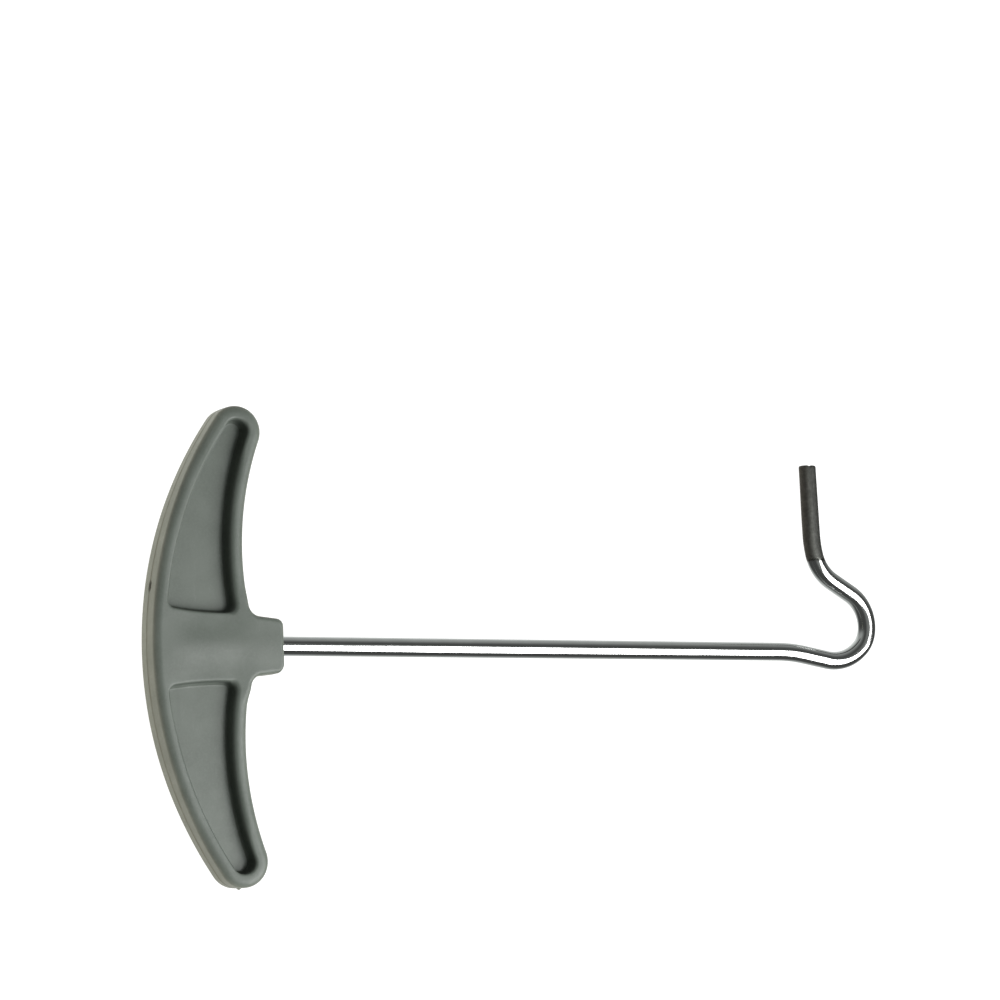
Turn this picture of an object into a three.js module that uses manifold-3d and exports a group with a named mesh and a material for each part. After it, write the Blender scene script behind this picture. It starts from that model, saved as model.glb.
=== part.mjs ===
// A T-handled hook tool, in millimetres: a moulded crescent handle on a bent wire hook.
// It is drawn lying flat. The shank runs along +X, the hook's tail points to +Y and the handle's
// faces are parallel to XY. While it is drawn, x = 0 is the outermost point of the handle's spine
// and z = 0 is the mid-thickness plane. The last lines put the origin under the middle of it.
import * as THREE from "three";
import { mergeVertices } from "three/addons/utils/BufferGeometryUtils.js";
import Module from "manifold-3d";

// Handle in plan: the spine, the two tips and the two palm arcs are circles that touch each other.
const SPINE_RADIUS = 103;
const TIP_RADIUS = 6.7;
const TIP_OFFSET = 55; // shank axis to the centre of either tip
const PALM_RADIUS = 80.5;
const PALM_OFFSET = 24.7; // shank axis to the centre of either palm arc

// Handle in section
const THICKNESS = 10;
const EDGE_RADIUS = 1.7;
const RIM_WIDTH = 3.4; // outline to pocket wall
const WEB_THICKNESS = 2;
const FLOOR_FILLET = 0.8;
const POCKET_CHAMFER = 0.6;

// Boss: tapers from the spine to its flat end
const BOSS_END = 36;
const BOSS_END_HALF = 6.7;
const FLANK_ANGLE = THREE.MathUtils.degToRad(6.3);
const BOSS_CORNER = 1.9;
const ROOT_FILLET = 3.2; // tangent length where a flank meets the palm arc
const POCKET_SPINE_CORNER = 1.4;
const POCKET_PALM_CORNER = 2;

// Wire: diameter 5 throughout, flattened into a paddle at its inner end
const WIRE_RADIUS = 2.5;
const WIRE_START = 8;
const SHANK_END = 189;
const TAIL_LENGTH = 19.5;
const BENDS = [
  // centreline radius, turn in degrees (positive turns towards +Y), straight that follows
  { radius: 48.5, turn: -10.5, straight: 7.6 },
  { radius: 13.2, turn: 54.7, straight: 0 },
  { radius: 8.3, turn: 37.3, straight: 0 },
  { radius: 10.5, turn: 68.4, straight: 7.1 },
  { radius: 11.6, turn: -47.4, straight: 0 },
  { radius: 30.9, turn: -10.8, straight: TAIL_LENGTH },
];
const PADDLE_LENGTH = 9;
const PADDLE_WIDTH = 7.2;
const PADDLE_THICKNESS = 3.2;
const PADDLE_EDGE = 0.5;
const CLEARANCE = 0.3;

// Mesh fineness
const ARC_DIVISIONS = 9;
const EDGE_DIVISIONS = 3;
const SHORTEST_EDGE = 0.05;
const WIRE_SIDES = 24;
const DEGREES_PER_STEP = 6;

const wasm = await Module();
wasm.setup();

function solidFrom(geometry) {
  const bare = geometry.clone();
  bare.deleteAttribute("normal");
  bare.deleteAttribute("uv");
  const merged = mergeVertices(bare, 1e-4);
  return new wasm.Manifold(
    new wasm.Mesh({
      numProp: 3,
      vertProperties: merged.attributes.position.array,
      triVerts: new Uint32Array(merged.index.array),
    }),
  );
}

function geometryFrom(solid) {
  const mesh = solid.getMesh();
  const geometry = new THREE.BufferGeometry();
  geometry.setAttribute("position", new THREE.BufferAttribute(mesh.vertProperties, 3));
  geometry.setIndex(new THREE.BufferAttribute(mesh.triVerts, 1));
  geometry.computeVertexNormals();
  return geometry;
}

// The three circles of the upper half. Spine and tip touch from inside, tip and palm from outside.
const TIP_X = SPINE_RADIUS - Math.sqrt((SPINE_RADIUS - TIP_RADIUS) ** 2 - TIP_OFFSET ** 2);
const PALM_X = TIP_X + Math.sqrt((PALM_RADIUS + TIP_RADIUS) ** 2 - (TIP_OFFSET - PALM_OFFSET) ** 2);
const SPINE = { x: SPINE_RADIUS, y: 0, r: SPINE_RADIUS };
const TIP = { x: TIP_X, y: TIP_OFFSET, r: TIP_RADIUS };
const PALM = { x: PALM_X, y: PALM_OFFSET, r: PALM_RADIUS };
const TIP_TO_SPINE = Math.atan2(TIP.y - SPINE.y, TIP.x - SPINE.x);
const PALM_TO_TIP = Math.atan2(TIP.y - PALM.y, TIP.x - PALM.x);

const inset = (circle, distance) => ({ ...circle, r: circle.r + distance });
const onCircle = (circle, angle) =>
  new THREE.Vector2(circle.x + circle.r * Math.cos(angle), circle.y + circle.r * Math.sin(angle));
const flankY = (x) => BOSS_END_HALF + (BOSS_END - x) * Math.tan(FLANK_ANGLE);
const onFlank = (x) => new THREE.Vector2(x, flankY(x));

// Angle, seen from a circle's centre, of the point where the boss flank crosses its left side.
function flankCrossing(circle) {
  const slope = -Math.tan(FLANK_ANGLE);
  const rise = flankY(0) - circle.y;
  const a = 1 + slope ** 2;
  const b = 2 * (slope * rise - circle.x);
  const c = circle.x ** 2 + rise ** 2 - circle.r ** 2;
  const x = (-b - Math.sqrt(b ** 2 - 4 * a * c)) / (2 * a);
  const angle = Math.atan2(flankY(x) - circle.y, x - circle.x);
  return angle < 0 ? angle + 2 * Math.PI : angle;
}

// From the boss flank up the palm arc, round the tip and back down the spine arc.
function addCrescent(path, palm, tip, spine, palmStart, spineEnd) {
  path.absarc(palm.x, palm.y, palm.r, palmStart, PALM_TO_TIP, true);
  path.absarc(tip.x, tip.y, tip.r, PALM_TO_TIP - Math.PI, TIP_TO_SPINE, false);
  path.absarc(spine.x, spine.y, spine.r, TIP_TO_SPINE, spineEnd, false);
}

// Rounds a corner by an arc from the path's current point to one as far past the corner.
function addRound(path, corner, end) {
  const start = path.currentPoint.clone();
  const incoming = corner.clone().sub(start).normalize();
  const outgoing = end.clone().sub(corner).normalize();
  const turn = Math.atan2(incoming.cross(outgoing), incoming.dot(outgoing));
  const radius = start.distanceTo(corner) / Math.tan(turn / 2);
  const centre = start.clone().add(new THREE.Vector2(-incoming.y, incoming.x).multiplyScalar(radius));
  const from = Math.atan2(start.y - centre.y, start.x - centre.x);
  path.absarc(centre.x, centre.y, Math.abs(radius), from, from + turn, turn < 0);
}

function distinct(points) {
  return points.filter((p, i) => i === 0 || p.distanceTo(points[i - 1]) > SHORTEST_EDGE);
}

const mirrored = (points) => points.map((p) => new THREE.Vector2(p.x, -p.y)).reverse();

function handleOutline() {
  const crossing = flankCrossing(PALM);
  const root = onCircle(PALM, crossing);
  const palmStart = crossing - ROOT_FILLET / PALM.r;
  const onPalm = onCircle(PALM, palmStart);
  const endCorner = new THREE.Vector2(BOSS_END, flankY(BOSS_END));
  const path = new THREE.Path();
  path.moveTo(BOSS_END, 0);
  path.lineTo(BOSS_END, BOSS_END_HALF - BOSS_CORNER);
  addRound(path, endCorner, onFlank(BOSS_END - BOSS_CORNER));
  path.lineTo(root.x + ROOT_FILLET, flankY(root.x + ROOT_FILLET));
  addRound(path, root, onPalm);
  addCrescent(path, PALM, TIP, SPINE, palmStart, Math.PI);
  const upper = distinct(path.getPoints(ARC_DIVISIONS));
  const lower = mirrored(upper).slice(1, -1);
  return new THREE.Shape([...upper, ...lower]);
}

// The pocket above the boss, its wall at a distance from the handle's outline.
function pocketOutline(wall) {
  const spine = inset(SPINE, -wall);
  const tip = inset(TIP, -wall);
  const palm = inset(PALM, wall);
  const spineCrossing = flankCrossing(spine);
  const palmCrossing = flankCrossing(palm);
  const spineCorner = onCircle(spine, spineCrossing);
  const palmCorner = onCircle(palm, palmCrossing);
  const palmStart = palmCrossing - POCKET_PALM_CORNER / palm.r;
  const spineEnd = spineCrossing - POCKET_SPINE_CORNER / spine.r;
  const onPalm = onCircle(palm, palmStart);
  const first = onFlank(spineCorner.x + POCKET_SPINE_CORNER);
  const last = onFlank(palmCorner.x - POCKET_PALM_CORNER);
  const path = new THREE.Path();
  path.moveTo(first.x, first.y);
  path.lineTo(last.x, last.y);
  addRound(path, palmCorner, onPalm);
  addCrescent(path, palm, tip, spine, palmStart, spineEnd);
  addRound(path, spineCorner, first);
  return distinct(path.getPoints(ARC_DIVISIONS)).slice(0, -1);
}

function handleBlank() {
  const geometry = new THREE.ExtrudeGeometry(handleOutline(), {
    depth: THICKNESS - 2 * EDGE_RADIUS,
    bevelThickness: EDGE_RADIUS,
    bevelSize: EDGE_RADIUS,
    bevelOffset: -EDGE_RADIUS,
    bevelSegments: EDGE_DIVISIONS,
  });
  geometry.translate(0, 0, EDGE_RADIUS - THICKNESS / 2);
  return solidFrom(geometry);
}

// Cutter for one pocket: a filleted floor on the web, and a chamfered mouth at the rim.
function pocketCutter(side, face) {
  const place = (points) => new THREE.Shape(side > 0 ? points : mirrored(points));
  const floor = WEB_THICKNESS / 2;
  const mouth = THICKNESS / 2;
  const hollow = new THREE.ExtrudeGeometry(place(pocketOutline(RIM_WIDTH)), {
    depth: mouth - floor,
    bevelThickness: FLOOR_FILLET,
    bevelSize: FLOOR_FILLET,
    bevelOffset: -FLOOR_FILLET,
    bevelSegments: EDGE_DIVISIONS,
  });
  hollow.translate(0, 0, floor + FLOOR_FILLET);
  const flare = new THREE.ExtrudeGeometry(place(pocketOutline(RIM_WIDTH)), {
    depth: 2 * POCKET_CHAMFER,
    bevelThickness: POCKET_CHAMFER,
    bevelSize: POCKET_CHAMFER,
    bevelSegments: 1,
  });
  flare.translate(0, 0, mouth);
  const cutter = solidFrom(hollow).add(solidFrom(flare));
  return face > 0 ? cutter : cutter.rotate([180, 0, 0]);
}

function wireSection(radius) {
  return new THREE.Shape().absarc(0, 0, radius, 0, 2 * Math.PI, false);
}

function roundBar(radius, start, end) {
  const geometry = new THREE.ExtrudeGeometry(wireSection(radius), {
    depth: end - start,
    bevelEnabled: false,
    curveSegments: WIRE_SIDES / 2,
  });
  geometry.rotateY(Math.PI / 2);
  geometry.translate(start, 0, 0);
  return solidFrom(geometry);
}

// The flat paddle at the wire's inner end, or with a margin the slot that it sits in.
function paddle(margin) {
  const halfLength = PADDLE_LENGTH / 2 + margin - PADDLE_EDGE;
  const halfWidth = PADDLE_WIDTH / 2 + margin - PADDLE_EDGE;
  const shape = new THREE.Shape();
  shape.moveTo(-halfLength, -halfWidth);
  shape.lineTo(halfLength, -halfWidth);
  shape.lineTo(halfLength, halfWidth);
  shape.lineTo(-halfLength, halfWidth);
  const depth = PADDLE_THICKNESS + 2 * (margin - PADDLE_EDGE);
  const geometry = new THREE.ExtrudeGeometry(shape, {
    depth,
    bevelThickness: PADDLE_EDGE,
    bevelSize: PADDLE_EDGE,
    bevelSegments: 2,
  });
  geometry.translate(WIRE_START + PADDLE_LENGTH / 2, 0, -depth / 2);
  return solidFrom(geometry);
}

function handleSolid() {
  let solid = handleBlank();
  for (const side of [1, -1]) {
    for (const face of [1, -1]) {
      solid = solid.subtract(pocketCutter(side, face));
    }
  }
  const socket = roundBar(WIRE_RADIUS + CLEARANCE, WIRE_START - CLEARANCE, BOSS_END + 1);
  return solid.subtract(socket).subtract(paddle(CLEARANCE));
}

// Stations along the bent wire's centreline, close together only where it bends.
function wireStations() {
  const stations = [new THREE.Vector2(WIRE_START, 0), new THREE.Vector2(SHANK_END, 0)];
  let heading = 0;
  let at = stations[1];
  for (const bend of BENDS) {
    const side = Math.sign(bend.turn);
    const turn = THREE.MathUtils.degToRad(bend.turn);
    const normal = new THREE.Vector2(-Math.sin(heading), Math.cos(heading));
    const centre = at.clone().addScaledVector(normal, side * bend.radius);
    const steps = Math.max(2, Math.ceil(Math.abs(bend.turn) / DEGREES_PER_STEP));
    for (let i = 1; i <= steps; i++) {
      stations.push(at.clone().rotateAround(centre, (turn * i) / steps));
    }
    heading += turn;
    at = stations.at(-1);
    if (bend.straight > 0) {
      const along = new THREE.Vector2(Math.cos(heading), Math.sin(heading));
      at = at.clone().addScaledVector(along, bend.straight);
      stations.push(at);
    }
  }
  return stations;
}

// A path through given stations, one to a step, for ExtrudeGeometry to follow.
class StationPath extends THREE.Curve {
  constructor(stations) {
    super();
    this.stations = stations;
  }
  point(index) {
    const station = this.stations[Math.min(Math.max(index, 0), this.stations.length - 1)];
    return new THREE.Vector3(station.x, station.y, 0);
  }
  getPointAt(u) {
    return this.point(Math.round(u * (this.stations.length - 1)));
  }
  getTangentAt(u) {
    const index = Math.round(u * (this.stations.length - 1));
    const ahead = this.point(index + 1).sub(this.point(index)).normalize();
    const behind = this.point(index).sub(this.point(index - 1)).normalize();
    return ahead.add(behind).normalize();
  }
}

function wireSolid(stations) {
  const geometry = new THREE.ExtrudeGeometry(wireSection(WIRE_RADIUS), {
    steps: stations.length - 1,
    bevelEnabled: false,
    curveSegments: WIRE_SIDES / 2,
    extrudePath: new StationPath(stations),
  });
  return solidFrom(geometry).add(paddle(0));
}

function part(name, solid, color, roughness, metalness) {
  const material = new THREE.MeshStandardMaterial({ color, roughness, metalness });
  const mesh = new THREE.Mesh(geometryFrom(solid), material);
  mesh.name = name;
  return mesh;
}

const stations = wireStations();
const farEdge = Math.max(...stations.map((station) => station.x)) + WIRE_RADIUS;

const tool = new THREE.Group();
tool.add(part("handle", handleSolid(), "#727a72", 0.55, 0));
tool.add(part("hook_rod", wireSolid(stations), "#c9ccce", 0.2, 1));
tool.position.set(-farEdge / 2, 0, THICKNESS / 2);

export default tool;
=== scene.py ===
"""Looks of a T-handled hook tool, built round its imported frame: a moulded handle and a bent, plated wire."""

import math

import bpy
import numpy as np
from mathutils import Matrix, Vector


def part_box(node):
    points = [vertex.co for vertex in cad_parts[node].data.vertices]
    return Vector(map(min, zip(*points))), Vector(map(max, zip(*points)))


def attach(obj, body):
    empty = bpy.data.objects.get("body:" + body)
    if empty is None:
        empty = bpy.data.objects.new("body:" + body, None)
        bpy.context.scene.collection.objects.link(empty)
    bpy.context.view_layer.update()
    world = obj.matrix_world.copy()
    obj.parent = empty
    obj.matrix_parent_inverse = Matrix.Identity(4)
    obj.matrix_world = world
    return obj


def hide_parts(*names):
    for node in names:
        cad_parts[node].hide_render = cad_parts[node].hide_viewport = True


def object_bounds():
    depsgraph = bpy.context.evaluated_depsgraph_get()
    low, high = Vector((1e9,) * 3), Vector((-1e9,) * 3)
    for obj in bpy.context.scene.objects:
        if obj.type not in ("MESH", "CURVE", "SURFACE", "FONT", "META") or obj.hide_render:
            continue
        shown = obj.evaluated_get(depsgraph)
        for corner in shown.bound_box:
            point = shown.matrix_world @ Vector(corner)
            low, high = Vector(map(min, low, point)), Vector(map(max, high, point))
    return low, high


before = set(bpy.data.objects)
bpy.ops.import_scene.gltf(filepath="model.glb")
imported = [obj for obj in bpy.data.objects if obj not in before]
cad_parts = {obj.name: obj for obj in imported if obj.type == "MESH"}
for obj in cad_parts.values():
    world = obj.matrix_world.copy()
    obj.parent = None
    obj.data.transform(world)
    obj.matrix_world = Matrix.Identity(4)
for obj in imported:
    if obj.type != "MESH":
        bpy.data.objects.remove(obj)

CAD_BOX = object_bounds()
HANDLE_LOW, HANDLE_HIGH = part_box("handle")
ROD_LOW, ROD_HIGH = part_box("hook_rod")

# The design is drawn in millimetres from the outermost point of the handle's spine, on the wire's axis.
MM = 0.001
DATUM = Vector((HANDLE_LOW.x, (HANDLE_LOW.y + HANDLE_HIGH.y) / 2, (HANDLE_LOW.z + HANDLE_HIGH.z) / 2))
HALF_THICKNESS = (HANDLE_HIGH.z - HANDLE_LOW.z) / 2 / MM
BOSS_END = (HANDLE_HIGH.x - HANDLE_LOW.x) / MM
WIRE_RADIUS = (ROD_HIGH.z - ROD_LOW.z) / 2 / MM
WIRE_START = (ROD_LOW.x - HANDLE_LOW.x) / MM

# Handle in plan
SPINE_RADIUS = 103.0
TIP_RADIUS = 6.7
TIP_OFFSET = 55.0
PALM_RADIUS = 80.5
PALM_OFFSET = 24.7
BOSS_END_HALF = 6.7
FLANK_ANGLE = math.radians(6.3)
BOSS_CORNER = 2.1
ROOT_FILLET = 3.3
POCKET_SPINE_CORNER = 2.0
POCKET_PALM_CORNER = 2.2
POCKET_FLANK = (19.1, 91.7)
POCKET_FLANK_RADIUS = 83.0

# Handle in section
RIM_WIDTH = 3.4
PALM_RIM = 3.95
WEB_HALF = 1.0
EDGE_ACROSS, EDGE_DEEP = 2.15, 1.4
BOSS_EDGE = 1.05
MOUTH_CRISP, MOUTH_SOFT = 0.55, 1.5
FLOOR_FILLET = 0.85
SIDE_DRAFT = math.tan(math.radians(1.5))
POCKET_DRAFT = math.tan(math.radians(3.0))
BORE_PLAY = 0.05
BORE_MOUTH = 0.3
SLOT_EDGE = 0.4

# Shapes that come in gradually. A range is from where there is none of it to where there is all of it:
# across the handle (x), along it (y), or in the slope of the distance to a pocket's wall.
BOSS_OUT_X, BOSS_BESIDE_Y = (21.5, 25.0), (16.0, 11.0)
PALM_SLOPE, PALM_TIP_Y, PALM_TIP_LOSS = (0.1, 0.8), (44.0, 52.0), 0.6
POCKET_SHIFT, POCKET_SHIFT_Y = 0.65, (24.0, 12.0)
SAG, SAG_ROOT_X, SAG_END_X, SAG_MIDDLE_Y = 0.5, (24.0, 27.5), (36.5, 34.0), (0.0, 5.0)
RIDGE_DROP, RIDGE_WIDTH = 0.5, 4.2
RIDGE_RISE_X, RIDGE_FADE_X, RIDGE_REST = (1.0, 14.0), (20.0, 29.0), 0.4

# Marks of the mould: parting seam, trimmed gate with its torn stub, crumb of flash
SEAM_DEPTH, SEAM_HALF = 0.07, 0.26
GATE_Y, GATE_HALF_Y, GATE_HALF_Z, GATE_DEPTH, GATE_REACH = 14.9, 1.5, 0.75, 0.32, 2.5
STUB_OFFSET, STUB_HALF_Y, STUB_HALF_Z, STUB_HEIGHT = 0.3, 0.5, 0.18, 0.2
NUB_HEIGHT, NUB_HALF_X, NUB_HALF_Z = 0.42, 0.5, 0.3

# Mesh spacing: a quicker grid's pitch, used here only to reach past the boss's end, and the full grid's; the
# finer layers at the seam, and the room left round the handle
QUICK_PITCH, FULL_PITCH = 0.5, 0.27
SEAM_PITCH, SEAM_LAYERS, COARSE_FROM, LAYER_SHARE = 0.11, 6, 0.8, 0.8
GRID_MARGIN, GRID_MARGIN_Z = 0.75, 0.4
SLOPE_STEP = 0.05
LEAST_STEEPNESS, LONGEST_MOVE = 0.25, 0.2

# Painted shade in the pockets, in distance past the wall: where it fades out, how much further it reaches on
# the palm side, and the share of it that is missing there
SHADE_FADE, SHADE_PALM_REACH, SHADE_PALM_LOSS = (0.3, -0.05), 0.35, 0.5

# Wire bends: centreline radius, turn in degrees (positive turns towards +Y), straight that follows
SHANK_END = 189.0
TAIL_LENGTH = 19.5
BENDS = [
    (48.5, -10.5, 7.6),
    (13.2, 54.7, 0.0),
    (8.3, 37.3, 0.0),
    (10.5, 68.4, 7.1),
    (11.6, -47.4, 0.0),
    (30.9, -10.8, TAIL_LENGTH),
]
WIRE_SIDES = 48
PADDLE_STATIONS, SHANK_STATIONS = 40, 90
STRAIGHT_STEP, TURN_STEP = 0.8, 1.5
PADDLE_LENGTH, PADDLE_WIDTH, PADDLE_THICKNESS = 9.0, 7.2, 3.2
PADDLE_RAMP, PADDLE_SQUARENESS = 5.0, 0.45
PINCH, PINCH_LENGTH, PINCH_SIDE = 0.16, 17.0, math.radians(28)

# Wire's sheared end: rings as shares of the section, with how far each stands from the cut
END_SHEAR = 0.12
NOTCH_DEPTH, NOTCH_AT, NOTCH_HALF = 0.3, 1.35, 0.16
START_RINGS = (0.3, 0.85)
END_EDGE = ((1.0, -0.32), (0.975, -0.14), (0.93, -0.03), (0.85, 0.0))
END_FACE, END_FACE_DEPTH = (0.65, 0.4, 0.15), 0.05


def to_frame(points):
    """Design millimetres to frame metres."""
    return np.asarray(points) * MM + np.array(DATUM)


def ease(value, none, full):
    """Zero on the side of none, one on the side of full, and smooth between them."""
    t = np.clip((value - none) / (full - none), 0, 1)
    return t * t * (3 - 2 * t)


# ---------------------------------------------------------------- outlines as signed distances


def line_piece(start, end):
    """Distance to a segment, negative on its left."""
    start, end = np.array(start), np.array(end)
    length = np.hypot(*(end - start))
    along = (end - start) / length

    def distance(x, y):
        dx, dy = x - start[0], y - start[1]
        travel = np.clip(dx * along[0] + dy * along[1], 0, length)
        gap = np.hypot(dx - travel * along[0], dy - travel * along[1])
        return np.where(along[0] * dy - along[1] * dx > 0, -gap, gap)

    return distance


def arc_piece(centre, radius, first, last, convex):
    """Distance to an arc between two points at angles first and last, negative inside when convex."""
    low, high = min(first, last), max(first, last)
    ends = [(centre[0] + radius * math.cos(a), centre[1] + radius * math.sin(a)) for a in (low, high)]

    def distance(x, y):
        dx, dy = x - centre[0], y - centre[1]
        reach = np.hypot(dx, dy)
        turn = np.mod(np.arctan2(dy, dx) - low, 2 * math.pi)
        to_ends = np.minimum(*[np.hypot(x - ex, y - ey) for ex, ey in ends])
        gap = np.where(turn <= high - low, np.abs(reach - radius), to_ends)
        inside = reach < radius if convex else reach > radius
        return np.where(inside, -gap, gap)

    return distance


def outline_distance(pieces):
    """Signed distance to a closed outline of pieces that join smoothly."""

    def distance(x, y):
        best = pieces[0](x, y)
        for piece in pieces[1:]:
            other = piece(x, y)
            best = np.where(np.abs(other) < np.abs(best), other, best)
        return best

    return distance


TIP_X = SPINE_RADIUS - math.sqrt((SPINE_RADIUS - TIP_RADIUS) ** 2 - TIP_OFFSET**2)
PALM_X = TIP_X + math.sqrt((PALM_RADIUS + TIP_RADIUS) ** 2 - (TIP_OFFSET - PALM_OFFSET) ** 2)
SPINE = (SPINE_RADIUS, 0.0)
TIP = (TIP_X, TIP_OFFSET)
PALM = (PALM_X, PALM_OFFSET)
TIP_TO_SPINE = math.atan2(TIP[1] - SPINE[1], TIP[0] - SPINE[0])
PALM_TO_TIP = math.atan2(TIP[1] - PALM[1], TIP[0] - PALM[0])
FLANK_UP = np.array([math.sin(FLANK_ANGLE), math.cos(FLANK_ANGLE)])
FLANK_ALONG = np.array([math.cos(FLANK_ANGLE), -math.sin(FLANK_ANGLE)])


def flank_y(x):
    return BOSS_END_HALF + (BOSS_END - x) * math.tan(FLANK_ANGLE)


def angle_from(centre, point):
    """Angle of a point seen from a centre, from 0 to a full turn."""
    return math.atan2(point[1] - centre[1], point[0] - centre[0]) % (2 * math.pi)


def flank_fillet(radius, centre, reach):
    """Centre of the fillet circle that stands on the boss flank and is at reach from another centre."""
    base = np.array([0.0, flank_y(0.0)]) + radius * FLANK_UP - np.array(centre)
    b = base @ FLANK_ALONG
    travel = -b - math.sqrt(b * b - base @ base + reach * reach)
    return np.array([0.0, flank_y(0.0)]) + radius * FLANK_UP + travel * FLANK_ALONG


def handle_pieces():
    """The upper half of the handle's outline, from the middle of the boss's end to that of the spine."""
    corner = np.array([BOSS_END - BOSS_CORNER, 0.0])
    corner[1] = flank_y(corner[0]) - BOSS_CORNER / math.cos(FLANK_ANGLE)
    flank_start = corner + BOSS_CORNER * FLANK_UP
    root = flank_fillet(ROOT_FILLET, PALM, PALM_RADIUS - ROOT_FILLET)
    flank_end = root - ROOT_FILLET * FLANK_UP
    root_to_palm = angle_from(PALM, root)
    flank_side = angle_from(root, flank_end)
    return [
        line_piece((BOSS_END, 0.0), (BOSS_END, corner[1])),
        arc_piece(corner, BOSS_CORNER, 0.0, math.pi / 2 - FLANK_ANGLE, True),
        line_piece(flank_start, flank_end),
        arc_piece(root, ROOT_FILLET, root_to_palm, flank_side, False),
        arc_piece(PALM, PALM_RADIUS, PALM_TO_TIP, root_to_palm, False),
        arc_piece(TIP, TIP_RADIUS, PALM_TO_TIP - math.pi, TIP_TO_SPINE, True),
        arc_piece(SPINE, SPINE_RADIUS, TIP_TO_SPINE, math.pi, True),
    ]


def circles_meet(first, first_radius, second, second_radius):
    """The meeting point, nearer the spine, of two circles."""
    first, second = np.array(first), np.array(second)
    gap = np.hypot(*(second - first))
    along = (second - first) / gap
    share = (first_radius**2 - second_radius**2 + gap**2) / (2 * gap)
    side = math.sqrt(first_radius**2 - share**2)
    options = [first + share * along + side * turn * np.array([-along[1], along[0]]) for turn in (1, -1)]
    return min(options, key=lambda point: point[0])


def pocket_pieces():
    """The outline of the upper pocket at the rim, counterclockwise from its wall on the boss."""
    spine_radius = SPINE_RADIUS - RIM_WIDTH
    palm_radius = PALM_RADIUS + PALM_RIM
    tip_radius = TIP_RADIUS - (RIM_WIDTH + PALM_RIM) / 2
    flank = POCKET_FLANK
    corner = POCKET_SPINE_CORNER
    near_spine = circles_meet(flank, POCKET_FLANK_RADIUS - corner, SPINE, spine_radius - corner)
    corner = POCKET_PALM_CORNER
    near_palm = circles_meet(flank, POCKET_FLANK_RADIUS - corner, PALM, palm_radius + corner)
    tip = circles_meet(SPINE, spine_radius - tip_radius, PALM, palm_radius + tip_radius)
    spine_end = angle_from(SPINE, near_spine)
    palm_start = angle_from(PALM, near_palm)
    flank_start = angle_from(flank, near_spine)
    flank_end = angle_from(flank, near_palm)
    palm_to_tip = angle_from(PALM, tip)
    tip_to_spine = angle_from(SPINE, tip)
    return [
        arc_piece(flank, POCKET_FLANK_RADIUS, flank_start, flank_end, True),
        arc_piece(near_palm, POCKET_PALM_CORNER, flank_end, palm_start + math.pi, True),
        arc_piece(PALM, palm_radius, palm_to_tip, palm_start, False),
        arc_piece(tip, tip_radius, palm_to_tip - math.pi, tip_to_spine, True),
        arc_piece(SPINE, spine_radius, tip_to_spine, spine_end, True),
        arc_piece(near_spine, POCKET_SPINE_CORNER, spine_end, flank_start, True),
    ]


handle_plan = outline_distance(handle_pieces())
upper_pocket = outline_distance(pocket_pieces())


def pocket_plan(x, y):
    """Distance to the outline of either pocket; both walls on the boss sit a little towards -Y."""
    return upper_pocket(x, np.abs(y + POCKET_SHIFT * ease(np.abs(y), *POCKET_SHIFT_Y)))


# ---------------------------------------------------------------- the handle as one implicit solid


def round_both(a, b, radius):
    """The region inside both a and b, its edge rounded."""
    u, v = a + radius, b + radius
    return np.hypot(np.maximum(u, 0), np.maximum(v, 0)) + np.minimum(np.maximum(u, v), 0) - radius


def round_edge(wall, face, across, deep):
    """The region inside both the side wall and the face, its edge an ellipse of these half sizes."""
    u, v = (wall + across) / across, (face + deep) / deep
    corner = np.hypot(np.maximum(u, 0), np.maximum(v, 0)) - 1
    return deep * (corner + np.minimum(np.maximum(u, v), 0))


def boss_share(x, side):
    """One on the part of the boss that stands out from the palm side, zero on the wings."""
    return ease(x, *BOSS_OUT_X) * ease(side, *BOSS_BESIDE_Y)


def boss_sag(x, y):
    """How far the boss's lower flank stands proud of the drawn line."""
    along = ease(x, *SAG_ROOT_X) * ease(x, *SAG_END_X)
    return SAG * along * ease(-y, *SAG_MIDDLE_Y) * ease(-y, *BOSS_BESIDE_Y)


def ridge_drop(x, y):
    """How far the boss's face falls away beside the soft ridge that covers the wire."""
    rise = ease(x, *RIDGE_RISE_X)
    fade = 1 - (1 - RIDGE_REST) * ease(x, *RIDGE_FADE_X)
    return RIDGE_DROP * rise * fade * (1 - np.exp(-((y / RIDGE_WIDTH) ** 2)))


def palm_share(x, y):
    """One beside a pocket's palm wall, less at its tip, zero beside its spine and boss walls."""
    ahead, behind = pocket_plan(x + SLOPE_STEP, y), pocket_plan(x - SLOPE_STEP, y)
    slope = (ahead - behind) / (2 * SLOPE_STEP)
    return ease(slope, *PALM_SLOPE) * (1 - PALM_TIP_LOSS * ease(np.abs(y), *PALM_TIP_Y))


def flash_nub(x, y, z):
    """A crumb of flash left on the seam at the lower tip."""
    height = NUB_HEIGHT * np.exp(-(((x - TIP_X) / NUB_HALF_X) ** 4) - (z / NUB_HALF_Z) ** 2)
    return np.where(y < -TIP_OFFSET, height, 0.0)


def gate_scar(x, y, z):
    """A trimmed injection gate on the spine's seam: an oval dimple with a torn stub in it."""
    spine_x = SPINE_RADIUS - math.sqrt(SPINE_RADIUS**2 - GATE_Y**2)
    across = np.hypot((y - GATE_Y) / GATE_HALF_Y, z / GATE_HALF_Z)
    depth = GATE_DEPTH * np.exp(-(across**4))
    stub_y, stub_z = (y - GATE_Y + STUB_OFFSET) / STUB_HALF_Y, z / STUB_HALF_Z
    stub = STUB_HEIGHT * np.exp(-(stub_y**2) - stub_z**2)
    near = np.exp(-(((x - spine_x) / GATE_REACH) ** 4))
    return (depth - stub) * near


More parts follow.
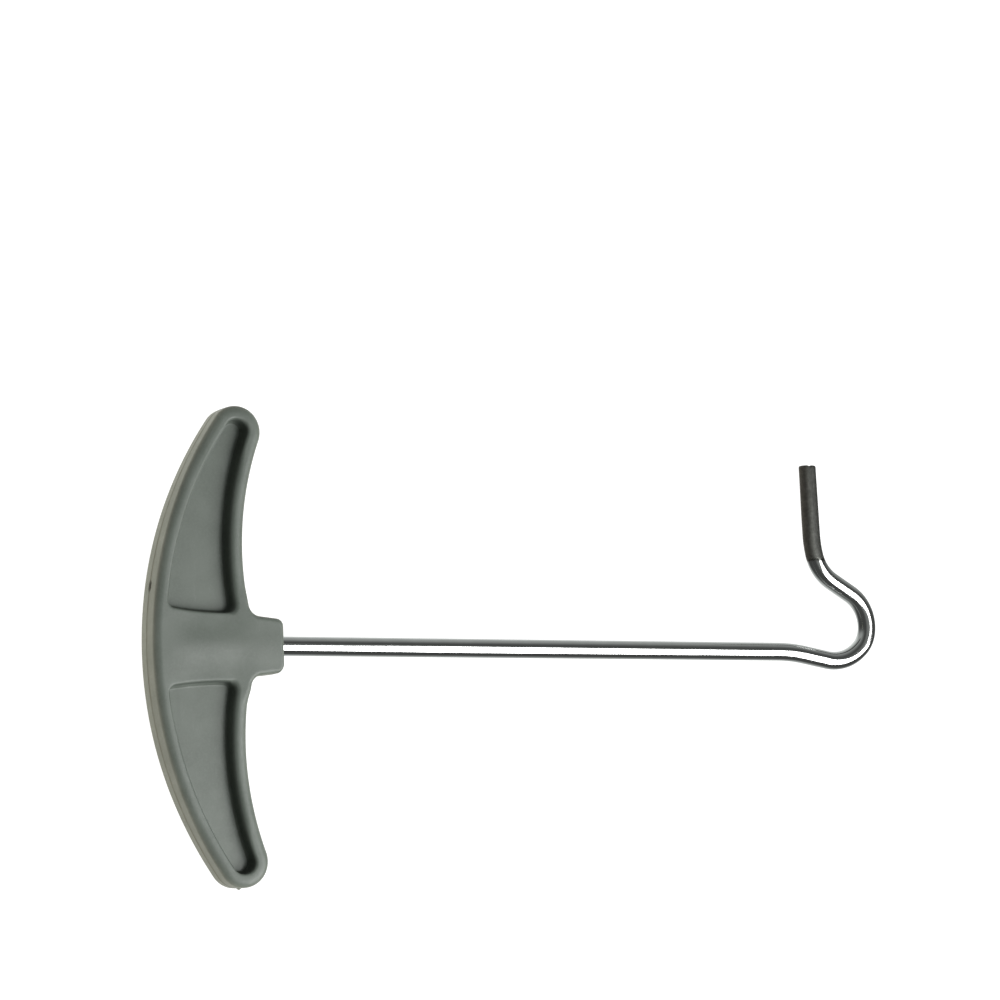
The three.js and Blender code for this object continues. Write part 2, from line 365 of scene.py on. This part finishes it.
def handle_field(x, y, z):
    """Negative inside the moulding."""
    side, height = np.abs(y), np.abs(z)
    wall = handle_plan(x, side) + SIDE_DRAFT * height - boss_sag(x, y)
    wall = wall + SEAM_DEPTH * np.exp(-((z / SEAM_HALF) ** 2)) + gate_scar(x, y, z) - flash_nub(x, y, z)
    on_boss = boss_share(x, side)
    across = EDGE_ACROSS + (BOSS_EDGE - EDGE_ACROSS) * on_boss
    deep = EDGE_DEEP + (BOSS_EDGE - EDGE_DEEP) * on_boss
    face = height - HALF_THICKNESS + ridge_drop(x, side)
    body = round_edge(wall, face, across, deep)
    pocket_wall = pocket_plan(x, y) + POCKET_DRAFT * (HALF_THICKNESS - height)
    pocket = round_both(pocket_wall, WEB_HALF - height, FLOOR_FILLET)
    body = round_both(body, -pocket, MOUTH_CRISP + (MOUTH_SOFT - MOUTH_CRISP) * palm_share(x, y))
    bore = np.maximum(np.hypot(y, z) - WIRE_RADIUS - BORE_PLAY, WIRE_START - BORE_PLAY - x)
    slot_x = np.abs(x - WIRE_START - PADDLE_LENGTH / 2) - PADDLE_LENGTH / 2 - BORE_PLAY
    slot_y = side - PADDLE_WIDTH / 2 - BORE_PLAY
    slot_z = height - PADDLE_THICKNESS / 2 - BORE_PLAY
    slot = round_both(np.maximum(slot_x, slot_y), slot_z, SLOT_EDGE)
    return round_both(round_both(body, -bore, BORE_MOUTH), -slot, BORE_MOUTH)


def surface_net(field, xs, ys, zs):
    """Quads of the zero surface of a field on a rectilinear grid, one vertex in each cell that it crosses."""
    values = field(xs[:, None, None], ys[None, :, None], zs[None, None, :])
    inside = values < 0
    axes = (xs, ys, zs)
    cells = tuple(len(a) - 1 for a in axes)
    total = np.zeros(cells + (3,))
    count = np.zeros(cells)
    crossings = []
    for axis in range(3):
        low = [slice(None)] * 3
        high = [slice(None)] * 3
        low[axis], high[axis] = slice(None, -1), slice(1, None)
        v0, v1 = values[tuple(low)], values[tuple(high)]
        cut = inside[tuple(low)] != inside[tuple(high)]
        index = np.argwhere(cut)
        t = v0[cut] / (v0[cut] - v1[cut])
        point = np.stack([axes[k][index[:, k]] for k in range(3)], axis=1)
        step = np.diff(axes[axis])[index[:, axis]]
        point[:, axis] += t * step
        crossings.append((index, inside[tuple(low)][cut]))
        others = [k for k in range(3) if k != axis]
        for da in (0, 1):
            for db in (0, 1):
                cell = index.copy()
                cell[:, others[0]] -= da
                cell[:, others[1]] -= db
                good = np.all((cell >= 0) & (cell < cells), axis=1)
                at = tuple(cell[good].T)
                np.add.at(total, at, point[good])
                np.add.at(count, at, 1)
    used = count > 0
    number = np.full(cells, -1)
    number[used] = np.arange(used.sum())
    vertices = total[used] / count[used][:, None]
    quads = []
    for axis, (index, solid_first) in enumerate(crossings):
        a, b = [(1, 2), (2, 0), (0, 1)][axis]
        corners = []
        for da, db in ((1, 1), (0, 1), (0, 0), (1, 0)):
            cell = index.copy()
            cell[:, a] -= da
            cell[:, b] -= db
            corners.append(number[tuple(cell.T)])
        quad = np.stack(corners, axis=1)
        quads.append(np.where(solid_first[:, None], quad, quad[:, ::-1]))
    return vertices, np.concatenate(quads)


def gradient(field, p, step=1e-3):
    """Values of a field at points, and its slopes along the three axes."""
    base = field(*p.T)
    slopes = [(field(*(p + step * np.eye(3)[k]).T) - base) / step for k in range(3)]
    return base, np.stack(slopes, axis=1)


def settle(field, vertices, quads, rounds=3):
    """Moves net vertices onto the surface, and evens them out along it."""
    edges = np.concatenate([quads[:, [k, (k + 1) % 4]] for k in range(4)])
    for turn in range(rounds):
        if turn:
            mean = np.zeros_like(vertices)
            degree = np.zeros(len(vertices))
            np.add.at(mean, edges[:, 0], vertices[edges[:, 1]])
            np.add.at(degree, edges[:, 0], 1)
            np.add.at(mean, edges[:, 1], vertices[edges[:, 0]])
            np.add.at(degree, edges[:, 1], 1)
            vertices = 0.5 * vertices + 0.5 * mean / degree[:, None]
        for _ in range(2):
            value, slope = gradient(field, vertices)
            steepness = np.maximum((slope**2).sum(axis=1), LEAST_STEEPNESS)
            move = np.clip(value / steepness, -LONGEST_MOVE, LONGEST_MOVE)
            vertices = vertices - move[:, None] * slope
    return vertices


def mesh_object(name, vertices, faces):
    """A smooth-shaded object from vertices in frame metres and lists of vertex numbers."""
    mesh = bpy.data.meshes.new(name)
    mesh.from_pydata(vertices.tolist(), [], faces)
    mesh.validate()
    mesh.update()
    mesh.shade_smooth()
    made = bpy.data.objects.new(name, mesh)
    bpy.context.scene.collection.objects.link(made)
    return made


def store(made, name, values):
    """Keeps a number for each vertex, for the material to read."""
    made.data.attributes.new(name, "FLOAT", "POINT").data.foreach_set("value", values)


def grid_layers(pitch):
    """Heights of the grid's layers: close together at the seam, and mirrored about it."""
    fine = SEAM_PITCH * (np.arange(SEAM_LAYERS) + 0.5)
    last = HALF_THICKNESS + GRID_MARGIN_Z
    coarse = np.linspace(COARSE_FROM, last, int((last - COARSE_FROM) / (LAYER_SHARE * pitch)))
    half = np.concatenate([fine, coarse])
    return np.concatenate([-half[::-1], half])


def make_handle():
    """The moulding's mesh, with the share of painted pocket shade at each vertex."""
    pitch = FULL_PITCH
    reach = TIP_OFFSET + TIP_RADIUS + GRID_MARGIN
    xs = np.arange(-GRID_MARGIN, BOSS_END + 2 * QUICK_PITCH, pitch)
    # An even count keeps the grid off the plane y = 0, where the two mirrored halves of the outline meet
    ys = np.linspace(-reach, reach, 2 * int(reach / pitch) + 2)
    vertices, quads = surface_net(handle_field, xs, ys, grid_layers(pitch))
    vertices = settle(handle_field, vertices, quads)
    made = mesh_object("moulded_handle", to_frame(vertices), quads.tolist())
    x, y = vertices[:, 0], vertices[:, 1]
    palm = palm_share(x, y)
    past_wall = pocket_plan(x, y) - SHADE_PALM_REACH * palm
    # The "pocket" attribute is the share of painted shade on the pocket walls and mouths
    store(made, "pocket", ease(past_wall, *SHADE_FADE) * (1 - SHADE_PALM_LOSS * palm))
    return made


handle = make_handle()
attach(handle, "root")
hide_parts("handle")


# ---------------------------------------------------------------- the wire


def wire_route():
    """Stations along the wire's centreline: position, heading and distance, close together in the bends."""
    points, headings = [], []

    def add(point, heading):
        points.append(point)
        headings.append(heading)

    ramp_end = WIRE_START + PADDLE_LENGTH + PADDLE_RAMP
    paddle = np.linspace(WIRE_START, ramp_end, PADDLE_STATIONS)
    shank = np.linspace(ramp_end + 1, SHANK_END, SHANK_STATIONS)
    for x in np.concatenate([paddle, shank]):
        add(np.array([x, 0.0]), 0.0)
    at, heading = np.array([SHANK_END, 0.0]), 0.0
    for radius, degrees, straight in BENDS:
        turn = math.radians(degrees)
        arm = math.copysign(radius, turn)
        centre = at + arm * np.array([-math.sin(heading), math.cos(heading)])
        steps = int(abs(degrees) / TURN_STEP)
        for turned in heading + turn * np.arange(1, steps + 1) / steps:
            add(centre + arm * np.array([math.sin(turned), -math.cos(turned)]), turned)
        heading += turn
        at = points[-1]
        steps = int(straight / STRAIGHT_STEP)
        for step in range(1, steps + 1):
            travel = straight * step / steps
            add(at + travel * np.array([math.cos(heading), math.sin(heading)]), heading)
        at = points[-1]
    points = np.array(points)
    distance = np.concatenate([[0], np.cumsum(np.hypot(*np.diff(points, axis=0).T))])
    return points, np.array(headings), distance


def wire_section(distance, remaining, around):
    """The wire's section: flat in the boss, round outside, slightly pinched towards the sheared end."""
    flat = ease(distance, PADDLE_LENGTH + PADDLE_RAMP, PADDLE_LENGTH)
    half_width = WIRE_RADIUS + flat * (PADDLE_WIDTH / 2 - WIRE_RADIUS)
    half_height = WIRE_RADIUS + flat * (PADDLE_THICKNESS / 2 - WIRE_RADIUS)
    power = 1 - PADDLE_SQUARENESS * flat
    sideways, upward = np.cos(around), np.sin(around)
    across = half_width * np.sign(sideways) * np.abs(sideways) ** power
    up = half_height * np.sign(upward) * np.abs(upward) ** power
    on_pinched_side = np.maximum(np.cos(around - PINCH_SIDE), 0)
    pinch = 1 - PINCH * ease(remaining, PINCH_LENGTH, 0.0) * on_pinched_side
    return across * pinch, up * pinch


def torn_waves(around, share):
    """Small uneven waves on the sheared face."""
    return 0.06 * np.sin(3 * around + 9 * share) + 0.04 * np.cos(5 * around - 14 * share)


def make_wire():
    """The wire's mesh, with the distance along it and the place round it at each vertex."""
    points, headings, distance = wire_route()
    total = distance[-1]
    around = np.arange(WIRE_SIDES) / WIRE_SIDES * 2 * math.pi
    rings, runs = [], []

    def add_ring(station, share=1.0, lift=0.0):
        """A ring at a station: its section times share, each vertex moved by lift along the wire."""
        point, heading, run = points[station], headings[station], distance[station]
        across, up = wire_section(run, total - run, around)
        x = point[0] - share * across * math.sin(heading) + lift * math.cos(heading)
        y = point[1] + share * across * math.cos(heading) + lift * math.sin(heading)
        rings.append(np.column_stack([x, y, share * up]))
        runs.append(np.full(WIRE_SIDES, run))

    for share in START_RINGS:
        add_ring(0, share)
    for station in range(len(points) - 1):
        add_ring(station)
    notch = NOTCH_DEPTH * np.exp(-(((around - NOTCH_AT) / NOTCH_HALF) ** 2))
    shear = END_SHEAR * np.cos(around) - notch
    for share, lift in END_EDGE:
        add_ring(-1, share, lift + shear)
    for share in END_FACE:
        add_ring(-1, share, share * (shear + torn_waves(around, share)) - END_FACE_DEPTH)
    ring = np.arange(WIRE_SIDES)
    after = (ring + 1) % WIRE_SIDES
    faces = [ring[::-1].tolist()]
    for low in WIRE_SIDES * np.arange(len(rings) - 1):
        high = low + WIRE_SIDES
        faces += np.column_stack([low + ring, low + after, high + after, high + ring]).tolist()
    faces.append((WIRE_SIDES * (len(rings) - 1) + ring).tolist())
    made = mesh_object("bent_wire", to_frame(np.concatenate(rings)), faces)
    store(made, "run", np.concatenate(runs) * MM)
    store(made, "side", np.tile(np.cos(around), len(rings)))
    store(made, "rise", np.tile(np.sin(around), len(rings)))
    return made


wire = make_wire()
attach(wire, "root")
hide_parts("hook_rod")


# ---------------------------------------------------------------- camera

# Its turn, tilt and roll; then its distance, and its moves to the right and up, in millimetres
VIEW_YAW, VIEW_TILT, VIEW_ROLL = math.radians(28.0), math.radians(7.03), math.radians(-1.65)
VIEW_DISTANCE, VIEW_RIGHT, VIEW_UP = 784.25, 89.16, 36.53
FOCAL_SHARE, SENSOR = 3.10758, 36.0
CLIP_START, CLIP_END = 0.01, 20.0


def make_camera():
    """The camera: turned round the part, tilted and rolled, then moved in its own plane."""
    back = Vector((
        -math.sin(VIEW_YAW) * math.cos(VIEW_TILT),
        -math.sin(VIEW_TILT),
        math.cos(VIEW_YAW) * math.cos(VIEW_TILT),
    ))
    up = (Vector((0, 1, 0)) - back.y * back).normalized()
    right = up.cross(back)
    turned_right = math.cos(VIEW_ROLL) * right + math.sin(VIEW_ROLL) * up
    turned_up = math.cos(VIEW_ROLL) * up - math.sin(VIEW_ROLL) * right
    place = VIEW_DISTANCE * back + VIEW_RIGHT * turned_right + VIEW_UP * turned_up
    data = bpy.data.cameras.new("camera")
    data.sensor_width = SENSOR
    data.lens = FOCAL_SHARE * SENSOR
    data.clip_start, data.clip_end = CLIP_START, CLIP_END
    camera = bpy.data.objects.new("camera", data)
    bpy.context.scene.collection.objects.link(camera)
    axes = Matrix((turned_right, turned_up, back)).transposed().to_4x4()
    camera.matrix_world = Matrix.Translation(DATUM + place * MM) @ axes
    bpy.context.scene.camera = camera
    return camera


make_camera()


# ---------------------------------------------------------------- materials

# Linear colours
PIGMENT_DARK, PIGMENT_LIGHT = (0.131, 0.153, 0.130), (0.154, 0.178, 0.153)
PIGMENT_SPECK, PIGMENT_STREAK = (0.167, 0.19, 0.166), (0.123, 0.142, 0.122)
# The pocket colour is painted shade, and so is the gate's; the seam's colour is grime
SEAM_GRIME, POCKET_SHADE_COLOR, GATE_SHADE_COLOR = (0.082, 0.088, 0.062), (0.06, 0.068, 0.055), (0.03, 0.031, 0.02)
SCRATCH_PALE = (0.3, 0.32, 0.3)
PLATING_GREY, PLATING_WHITE, PLATING_PIT = (0.70, 0.71, 0.70), (0.76, 0.77, 0.765), (0.5, 0.51, 0.5)
BARE_DARK, BARE_PALE = (0.115, 0.118, 0.107), (0.165, 0.168, 0.155)

# Lengths in millimetres: the grimy band at the seam, the painted shade of the gate's dimple, and the edge of
# the plating, along y
GRIME_FADE = (0.9, 0.08)
GATE_SHADE_Y, GATE_SHADE_Z = 1.5, 0.95
PLATING_END, PLATING_END_HALF, PLATING_END_WANDER = 26.1, 0.9, 0.9


class Nodes:
    """Short names for building a material's node tree."""

    def __init__(self, name):
        self.material = bpy.data.materials.new(name)
        self.material.use_nodes = True
        self.tree = self.material.node_tree
        self.shader = self.tree.nodes["Principled BSDF"]

    def coordinate(self, kind):
        """Object for the place on the part, Normal for the way that the surface faces."""
        return self.tree.nodes.new("ShaderNodeTexCoord").outputs[kind]

    def link(self, value, socket):
        if isinstance(value, bpy.types.NodeSocket):
            self.tree.links.new(value, socket)
        else:
            socket.default_value = value

    def math(self, operation, a, b=0.0):
        node = self.tree.nodes.new("ShaderNodeMath")
        node.operation = operation
        self.link(a, node.inputs[0])
        self.link(b, node.inputs[1])
        return node.outputs[0]

    def times(self, a, b):
        return self.math("MULTIPLY", a, b)

    def plus(self, a, b):
        return self.math("ADD", a, b)

    def ramp(self, value, low, high, start=0.0, end=1.0):
        """Maps low..high of a value smoothly to start..end."""
        node = self.tree.nodes.new("ShaderNodeMapRange")
        node.interpolation_type = "SMOOTHSTEP"
        for item, socket in zip((value, low, high, start, end), node.inputs):
            self.link(item, socket)
        return node.outputs[0]

    def noise(self, scale, detail, vector=None, stretch=None, roughness=0.5):
        """Smooth noise from 0 to 1 with features of about 1/scale metres."""
        vector = vector or self.coordinate("Object")
        if stretch:
            mapping = self.tree.nodes.new("ShaderNodeMapping")
            mapping.inputs["Scale"].default_value = stretch
            self.link(vector, mapping.inputs["Vector"])
            vector = mapping.outputs[0]
        node = self.tree.nodes.new("ShaderNodeTexNoise")
        self.link(vector, node.inputs["Vector"])
        node.inputs["Scale"].default_value = scale
        node.inputs["Detail"].default_value = detail
        node.inputs["Roughness"].default_value = roughness
        return node.outputs["Fac"]

    def split(self, vector):
        node = self.tree.nodes.new("ShaderNodeSeparateXYZ")
        self.link(vector, node.inputs[0])
        return node.outputs

    def combine(self, x, y, z):
        node = self.tree.nodes.new("ShaderNodeCombineXYZ")
        for value, socket in zip((x, y, z), node.inputs):
            self.link(value, socket)
        return node.outputs[0]

    def attribute(self, name):
        node = self.tree.nodes.new("ShaderNodeAttribute")
        node.attribute_name = name
        return node.outputs["Fac"]

    def mix(self, share, first, second, blend="MIX"):
        """Blends two colours."""
        node = self.tree.nodes.new("ShaderNodeMix")
        node.data_type, node.blend_type = "RGBA", blend
        self.link(share, node.inputs["Factor"])
        for value, name in ((first, "A"), (second, "B")):
            socket = [i for i in node.inputs if i.name == name and i.type == "RGBA"][0]
            self.link(value if isinstance(value, bpy.types.NodeSocket) else (*value, 1.0), socket)
        return [o for o in node.outputs if o.type == "RGBA"][0]

    def bump(self, height, strength, distance, below=None):
        node = self.tree.nodes.new("ShaderNodeBump")
        node.inputs["Strength"].default_value = strength
        node.inputs["Distance"].default_value = distance
        self.link(height, node.inputs["Height"])
        if below:
            self.link(below, node.inputs["Normal"])
        return node.outputs[0]


def pigment(n, clouds, specks):
    """The plastic's own colour: cloudy, finely speckled, and streaked where it flowed."""
    streaks = n.noise(420, 3, stretch=(1.0, 0.12, 1.0))
    color = n.mix(n.ramp(clouds, 0.3, 0.7), PIGMENT_DARK, PIGMENT_LIGHT)
    color = n.mix(n.ramp(specks, 0.35, 0.75, 0.0, 0.45), color, PIGMENT_SPECK)
    return n.mix(n.ramp(streaks, 0.5, 0.8, 0.0, 0.25), color, PIGMENT_STREAK)


def seam_grime(n, above, facing):
    """Patchy grime in a band along the parting seam, on upright walls only."""
    upright = n.ramp(n.math("ABSOLUTE", facing[2]), 0.5, 0.15)
    band = n.ramp(above, GRIME_FADE[0] * MM, GRIME_FADE[1] * MM)
    patches = n.ramp(n.noise(260, 3), 0.25, 0.7, 0.35, 0.75)
    return n.times(n.times(band, upright), patches)


def gate_dimple_shade(n, y, above, facing):
    """Painted shade in the oval dimple of the trimmed gate, on the spine side only."""
    along = n.math("DIVIDE", n.math("SUBTRACT", y, DATUM.y + GATE_Y * MM), GATE_SHADE_Y * MM)
    across = n.math("DIVIDE", above, GATE_SHADE_Z * MM)
    oval = n.plus(n.math("POWER", along, 2.0), n.math("POWER", across, 2.0))
    return n.times(n.ramp(oval, 1.5, 0.1), n.ramp(facing[0], -0.3, -0.7, 0.0, 0.85))


def rubbed_scratches(n, clouds):
    """A few long, faint scratches, where the pigment is palest."""
    bands = n.noise(90, 2, stretch=(9.0, 1.3, 1.0), roughness=0.4)
    lines = n.ramp(n.math("ABSOLUTE", n.math("SUBTRACT", bands, 0.5)), 0.012, 0.0, 0.0, 0.12)
    return n.times(lines, n.ramp(clouds, 0.45, 0.62))


def handle_plastic():
    """Grey-green satin moulding: spark-eroded grain, cloudy pigment, grime along the seam, painted shade in
    the pockets and in the gate's dimple, and a few rubbed scratches.
    """
    n = Nodes("handle_plastic")
    facing = n.split(n.coordinate("Normal"))
    _, y, z = n.split(n.coordinate("Object"))
    above = n.math("ABSOLUTE", n.math("SUBTRACT", z, DATUM.z))
    clouds, specks, grain = n.noise(130, 3), n.noise(1500, 2), n.noise(3600, 3, roughness=0.6)
    grime = seam_grime(n, above, facing)
    # Painted shade on the steep pocket walls, fillets and mouths, weakest on walls that face -Y, towards the
    # key light
    shaded_walls = n.times(n.attribute("pocket"), n.ramp(n.math("ABSOLUTE", facing[2]), 0.995, 0.9))
    pocket_shade_strength = n.times(n.ramp(facing[1], -0.7, -0.1, 0.1, 1.0), n.ramp(clouds, 0.2, 0.8, 0.72, 0.6))

    color = pigment(n, clouds, specks)
    color = n.mix(grime, color, SEAM_GRIME)
    # Painted shade in the pockets
    color = n.mix(n.times(shaded_walls, pocket_shade_strength), color, POCKET_SHADE_COLOR)
    # Painted shade in the gate's dimple
    color = n.mix(gate_dimple_shade(n, y, above, facing), color, GATE_SHADE_COLOR)
    color = n.mix(rubbed_scratches(n, clouds), color, SCRATCH_PALE)
    n.link(color, n.shader.inputs["Base Color"])

    satin = n.ramp(n.noise(700, 3), 0.25, 0.75, 0.36, 0.45)
    dulled = n.plus(n.times(grime, 0.2), n.ramp(shaded_walls, 0.0, 0.6, 0.0, 0.5))
    n.link(n.plus(satin, dulled), n.shader.inputs["Roughness"])

    sink_marks = n.bump(n.noise(95, 2), 0.35, 0.25 * MM)
    relief = n.plus(n.times(grain, 0.6), n.times(specks, 0.4))
    n.link(n.bump(relief, 0.35, 0.05 * MM, sink_marks), n.shader.inputs["Normal"])
    return n.material


def bare_scale_and_highlight(n, side):
    """The bare tail's colour: mottled, times a painted highlight that is palest in a band part way round the
    wire and darker to either side.
    """
    mottle = n.ramp(n.noise(900, 4, roughness=0.65), 0.35, 0.7)
    # Painted highlight and shade across the tail
    highlight_band = n.times(n.ramp(side, 0.0, 0.5, 0.45, 1.3), n.ramp(side, 0.5, 0.85, 1.0, 0.5))
    return n.mix(1.0, n.mix(mottle, BARE_DARK, BARE_PALE), n.combine(highlight_band, highlight_band, highlight_band), "MULTIPLY")


def plated_steel():
    """Bright plating with drawn lines; the last stretch of the tail is bare, dark and mottled."""
    n = Nodes("plated_steel")
    y = n.split(n.coordinate("Object"))[1]
    run, side, rise = n.attribute("run"), n.attribute("side"), n.attribute("rise")
    drawn = n.noise(9.0, 3, vector=n.combine(n.times(run, 12.0), side, rise), roughness=0.6)
    wander = n.times(n.math("SUBTRACT", n.noise(700, 2), 0.5), PLATING_END_WANDER * MM)
    plating_end, half = DATUM.y + PLATING_END * MM, PLATING_END_HALF * MM
    bare = n.ramp(n.plus(y, wander), plating_end - half, plating_end + half)

    bright = n.mix(n.ramp(n.noise(240, 3), 0.35, 0.75), PLATING_GREY, PLATING_WHITE)
    bright = n.mix(n.ramp(n.noise(2600, 2), 0.62, 0.8, 0.0, 0.15), bright, PLATING_PIT)
    color = n.mix(n.ramp(bare, 0.0, 0.45), bright, bare_scale_and_highlight(n, side))
    n.link(color, n.shader.inputs["Base Color"])
    n.link(n.ramp(bare, 0.0, 1.0, 1.0, 0.75), n.shader.inputs["Metallic"])

    # The roughness changes after the colour has, so no pale ring is left between the two finishes
    rough_share = n.ramp(bare, 0.4, 1.0)
    polished = n.ramp(drawn, 0.3, 0.75, 0.07, 0.15)
    matt = n.ramp(n.noise(1100, 3), 0.3, 0.7, 0.48, 0.58)
    rough = n.plus(n.times(polished, n.math("SUBTRACT", 1.0, rough_share)), n.times(matt, rough_share))
    n.link(rough, n.shader.inputs["Roughness"])

    lines = n.bump(drawn, 0.02, 0.04 * MM)
    pits = n.times(n.noise(1500, 4, roughness=0.65), rough_share)
    n.link(n.bump(pits, 0.5, 0.1 * MM, lines), n.shader.inputs["Normal"])
    return n.material


handle.data.materials.append(handle_plastic())
wire.data.materials.append(plated_steel())


# ---------------------------------------------------------------- floor, lights and room

# Lengths in metres
FLOOR_REACH, FLOOR_BASE, FLOOR_WHITE = 3.0, (0.2, 0.2, 0.2), (1.02, 1.02, 1.015)
KEY_DIRECTION, KEY_DISTANCE, KEY_SIZE, KEY_RADIANCE = (0.51, -0.35, 0.785), 0.8, (0.76, 0.7), 5.5
TABLE_SIZE, TABLE_LIFT, TABLE_GLOW, TABLE_TINT = 3.0, 0.0001, 1.85, (1.0, 0.83, 0.7)
ROOM_TINT = (0.96, 1.0, 0.98)
ROOM_LOW, ROOM_OVERHEAD, ROOM_BELOW, ROOM_FAR = 0.067, 0.22, 0.6, 0.3


def make_floor():
    """A pale light table: one plain sheet, white wherever it is seen."""
    level = CAD_BOX[0].z
    signs = ((-1, -1), (1, -1), (1, 1), (-1, 1))
    corners = np.array([(a * FLOOR_REACH, b * FLOOR_REACH, level) for a, b in signs])
    floor = mesh_object("floor", corners, [(0, 1, 2, 3)])
    n = Nodes("pale_floor")
    n.shader.inputs["Base Color"].default_value = (*FLOOR_BASE, 1)
    n.shader.inputs["Roughness"].default_value = 0.9
    n.shader.inputs["Emission Color"].default_value = (*FLOOR_WHITE, 1)
    n.shader.inputs["Emission Strength"].default_value = 1.0
    floor.data.materials.append(n.material)
    floor.visible_glossy = False
    return floor


make_floor()


def soft_box(name, direction, distance, size, radiance):
    """A rectangular light that faces the part and looks equally bright from everywhere in front of it."""
    data = bpy.data.lights.new(name, "AREA")
    data.shape = "RECTANGLE"
    data.size, data.size_y = size
    data.energy = radiance * size[0] * size[1] * math.pi
    light = bpy.data.objects.new(name, data)
    bpy.context.scene.collection.objects.link(light)
    away = Vector(direction).normalized()
    light.location = away * distance
    light.rotation_mode = "QUATERNION"
    light.rotation_quaternion = away.to_track_quat("Z", "Y")
    return light


def make_table_glow():
    """The warm light that the table throws up at the part's sides; reflections don't show it."""
    glow = soft_box("table_glow", (0, 0, -1), 0.0, (TABLE_SIZE, TABLE_SIZE), TABLE_GLOW)
    glow.location.z = CAD_BOX[0].z + TABLE_LIFT
    glow.data.color = TABLE_TINT
    glow.visible_camera = False
    glow.visible_glossy = False
    return glow


soft_box("key_softbox", KEY_DIRECTION, KEY_DISTANCE, KEY_SIZE, KEY_RADIANCE)
make_table_glow()


def make_world():
    """A dim room: paler overhead, paler low down towards +Y, and paler below, except towards the spine."""
    world = bpy.data.worlds.new("studio")
    bpy.context.scene.world = world
    world.use_nodes = True
    tree = world.node_tree
    background = tree.nodes["Background"]
    split = tree.nodes.new("ShaderNodeSeparateXYZ")
    tree.links.new(tree.nodes.new("ShaderNodeTexCoord").outputs["Generated"], split.inputs[0])
    x, y, z = split.outputs

    def ramp(socket, low, high, start, end):
        node = tree.nodes.new("ShaderNodeMapRange")
        node.interpolation_type = "SMOOTHSTEP"
        for value, item in zip((low, high, start, end), list(node.inputs)[1:5]):
            item.default_value = value
        tree.links.new(socket, node.inputs[0])
        return node.outputs[0]

    def join(operation, a, b):
        node = tree.nodes.new("ShaderNodeMath")
        node.operation = operation
        tree.links.new(a, node.inputs[0])
        tree.links.new(b, node.inputs[1])
        return node.outputs[0]

    below = join("MULTIPLY", ramp(z, -0.15, -1.0, 0.0, ROOM_BELOW), ramp(x, -0.65, 0.0, 0.0, 1.0))
    far_side = join("MULTIPLY", ramp(z, 0.75, -0.1, 0.0, ROOM_FAR), ramp(y, 0.1, 0.7, 0.0, 1.0))
    overhead = ramp(z, 0.7, 1.0, ROOM_LOW, ROOM_OVERHEAD)
    background.inputs["Color"].default_value = (*ROOM_TINT, 1)
    tree.links.new(join("ADD", join("ADD", below, far_side), overhead), background.inputs["Strength"])


make_world()
bpy.context.scene.view_settings.view_transform = "Standard"
